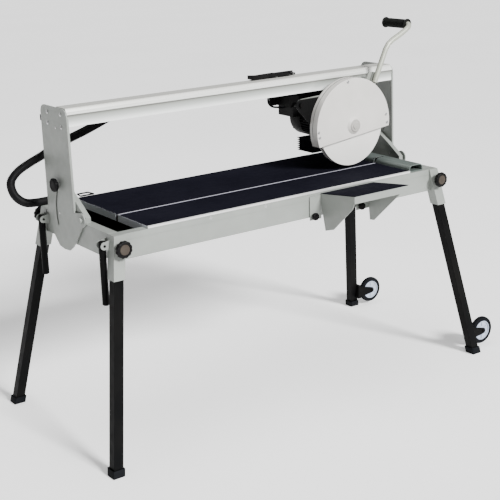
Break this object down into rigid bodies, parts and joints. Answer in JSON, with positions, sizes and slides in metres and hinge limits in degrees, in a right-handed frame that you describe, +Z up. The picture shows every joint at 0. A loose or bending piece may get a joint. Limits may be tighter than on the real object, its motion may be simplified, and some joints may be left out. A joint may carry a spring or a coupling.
{
  "type": "wet tile saw",
  "caption": "Wet tile saw: a split table on four splayed legs under a tilting bridge that carries a sliding, plunging blade head with feed handle, and a side extension table.",
  "frame": {"origin": "on the floor, at the centre of the four feet and under the middle of the frame", "axes": "+Z up; +X along the table and the bridge, to the right when facing the saw; +Y to the rear, towards the motor's end"},
  "size_m": [1.893, 0.8815, 1.379],
  "materials": {
    "paint": "silver-grey paint, satin",
    "aluminium": "brushed, clear anodised",
    "guard": "warm white paint, satin",
    "table": "black coated, fine texture",
    "motor": "cast, painted black",
    "black_steel": "black paint, satin",
    "black_plastic": "moulded, satin",
    "rubber": "matte",
    "steel": "ground steel",
    "wheel": "black tyre"
  },
  "bodies": {
    "frame": {"front_rail": "paint", "rear_rail": "paint", "left_end_rail": "paint", "right_end_rail": "paint", "water_tray": "black_plastic", "drain_plug": "black_plastic", "water_pump": "black_plastic", "front_table": "table", "rear_table": "table", "slot_strip": "aluminium", "front_trim": "aluminium", "table_pull": "black_plastic", "fence_rail": "aluminium", "fence_wire": "steel", "left_tilt_bracket": "paint", "right_tilt_bracket": "paint", "conduit_gland": "black_plastic", "cable_conduit": "rubber"},
    "bridge": {"left_post": "paint", "right_post": "paint", "bridge_beam": "aluminium", "conduit_clip": "black_plastic"},
    "left_tilt_knob": {"left_tilt_knob": "black_plastic"},
    "right_tilt_knob": {"right_tilt_knob": "black_plastic"},
    "carriage": {"carriage_bracket": "black_steel", "carriage_cover": "black_plastic"},
    "roller_left": {"carriage_roller_left": "steel"},
    "roller_right": {"carriage_roller_right": "steel"},
    "head": {"head_plate": "black_steel", "guard_cover": "guard", "motor_housing": "motor", "switch_box": "black_plastic", "motor_lead": "rubber", "splash_block": "rubber", "handle_tube": "paint", "handle_grip": "rubber"},
    "rocker": {"switch_rocker": "black_plastic"},
    "blade": {"saw_blade": "steel", "blade_arbor": "steel"},
    "lower_guard": {"lower_guard": "guard"},
    "extension": {"extension_frame": "paint", "extension_top": "table"},
    "extension_knob_left": {"extension_knob_left": "black_plastic"},
    "extension_knob_right": {"extension_knob_right": "black_plastic"},
    "leg_front_left": {"leg_front_left": "black_steel", "foot_front_left": "rubber"},
    "leg_knob_front_left": {"leg_knob_front_left": "black_plastic"},
    "leg_front_right": {"leg_front_right": "black_steel", "foot_front_right": "rubber"},
    "leg_knob_front_right": {"leg_knob_front_right": "black_plastic"},
    "wheel_front": {"wheel_front": "wheel"},
    "carry_handle_front": {"carry_handle_front": "black_steel"},
    "leg_rear_left": {"leg_rear_left": "black_steel", "foot_rear_left": "rubber"},
    "leg_knob_rear_left": {"leg_knob_rear_left": "black_plastic"},
    "leg_rear_right": {"leg_rear_right": "black_steel", "foot_rear_right": "rubber"},
    "leg_knob_rear_right": {"leg_knob_rear_right": "black_plastic"},
    "wheel_rear": {"wheel_rear": "wheel"},
    "carry_handle_rear": {"carry_handle_rear": "black_steel"}
  },
  "joints": [
    {"name": "bridge_tilt", "type": "hinge", "parent": "frame", "child": "bridge", "pos_m": [0, -0.056, 0.81], "axis": [1, 0, 0], "range_deg": [0, 45]},
    {"name": "left_tilt_clamp", "type": "hinge", "parent": "frame", "child": "left_tilt_knob", "pos_m": [-0.772, 0.1008, 0.9118], "axis": [1, 0, 0], "continuous": true},
    {"name": "right_tilt_clamp", "type": "hinge", "parent": "frame", "child": "right_tilt_knob", "pos_m": [0.772, 0.1008, 0.9118], "axis": [1, 0, 0], "continuous": true},
    {"name": "carriage_travel", "type": "slide", "parent": "bridge", "child": "carriage", "axis": [1, 0, 0], "range_m": [-0.73, 0.06]},
    {"name": "left_roller_spin", "type": "hinge", "parent": "carriage", "child": "roller_left", "pos_m": [0.195, 0.07, 1.1993], "axis": [0, 1, 0], "range_deg": [-7000, 600]},
    {"name": "right_roller_spin", "type": "hinge", "parent": "carriage", "child": "roller_right", "pos_m": [0.282, 0.07, 1.1993], "axis": [0, 1, 0], "range_deg": [-7000, 600]},
    {"name": "plunge", "type": "hinge", "parent": "carriage", "child": "head", "pos_m": [0.235, 0, 1.09], "axis": [0, 1, 0], "range_deg": [0, 9.5], "stiffness_Nm_per_rad": 80, "springref_deg": -42.97},
    {"name": "switch", "type": "hinge", "parent": "head", "child": "rocker", "pos_m": [0.345, 0.196, 1.0725], "axis": [1, 0, 0], "range_deg": [-10, 10]},
    {"name": "blade_spin", "type": "hinge", "parent": "head", "child": "blade", "pos_m": [0.467, -0.056, 0.986], "axis": [0, 1, 0], "continuous": true},
    {"name": "guard_float", "type": "slide", "parent": "head", "child": "lower_guard", "axis": [0, 0, 1], "range_m": [0, 0.037]},
    {"name": "extension_travel", "type": "slide", "parent": "frame", "child": "extension", "axis": [1, 0, 0], "range_m": [-0.75, 0.25]},
    {"name": "left_extension_clamp", "type": "hinge", "parent": "extension", "child": "extension_knob_left", "pos_m": [0.102, -0.285, 0.714], "axis": [0, 1, 0], "continuous": true},
    {"name": "right_extension_clamp", "type": "hinge", "parent": "extension", "child": "extension_knob_right", "pos_m": [0.333, -0.285, 0.714], "axis": [0, 1, 0], "continuous": true},
    {"name": "leg_length_front_left", "type": "slide", "parent": "frame", "child": "leg_front_left", "axis": [-0.167, -0.1709, -0.971], "range_m": [0, 0.08]},
    {"name": "leg_clamp_front_left", "type": "hinge", "parent": "frame", "child": "leg_knob_front_left", "pos_m": [-0.73562, -0.309, 0.758], "axis": [0, 1, 0], "continuous": true},
    {"name": "leg_length_front_right", "type": "slide", "parent": "frame", "child": "leg_front_right", "axis": [0.167, -0.1709, -0.971], "range_m": [0, 0.08]},
    {"name": "leg_clamp_front_right", "type": "hinge", "parent": "frame", "child": "leg_knob_front_right", "pos_m": [0.73562, -0.309, 0.758], "axis": [0, 1, 0], "continuous": true},
    {"name": "wheel_spin_front", "type": "hinge", "parent": "leg_front_right", "child": "wheel_front", "pos_m": [0.945, -0.356, 0.072], "axis": [0, 1, 0], "continuous": true},
    {"name": "carry_handle_swing_front", "type": "hinge", "parent": "frame", "child": "carry_handle_front", "pos_m": [-0.774, -0.229, 0.763], "axis": [0, 1, 0], "range_deg": [0, 95]},
    {"name": "leg_length_rear_left", "type": "slide", "parent": "frame", "child": "leg_rear_left", "axis": [-0.167, 0.1709, -0.971], "range_m": [0, 0.08]},
    {"name": "leg_clamp_rear_left", "type": "hinge", "parent": "frame", "child": "leg_knob_rear_left", "pos_m": [-0.73562, 0.309, 0.758], "axis": [0, 1, 0], "continuous": true},
    {"name": "leg_length_rear_right", "type": "slide", "parent": "frame", "child": "leg_rear_right", "axis": [0.167, 0.1709, -0.971], "range_m": [0, 0.08]},
    {"name": "leg_clamp_rear_right", "type": "hinge", "parent": "frame", "child": "leg_knob_rear_right", "pos_m": [0.73562, 0.309, 0.758], "axis": [0, 1, 0], "continuous": true},
    {"name": "wheel_spin_rear", "type": "hinge", "parent": "leg_rear_right", "child": "wheel_rear", "pos_m": [0.945, 0.356, 0.072], "axis": [0, 1, 0], "continuous": true},
    {"name": "carry_handle_swing_rear", "type": "hinge", "parent": "frame", "child": "carry_handle_rear", "pos_m": [-0.774, 0.229, 0.763], "axis": [0, 1, 0], "range_deg": [0, 95]}
  ],
  "couplings": [
    {"joint": "left_roller_spin", "follows": "carriage_travel", "rad_per_m": 166.67},
    {"joint": "right_roller_spin", "follows": "carriage_travel", "rad_per_m": 166.67},
    {"joint": "guard_float", "follows": "plunge", "m_per_rad": 0.2228}
  ]
}
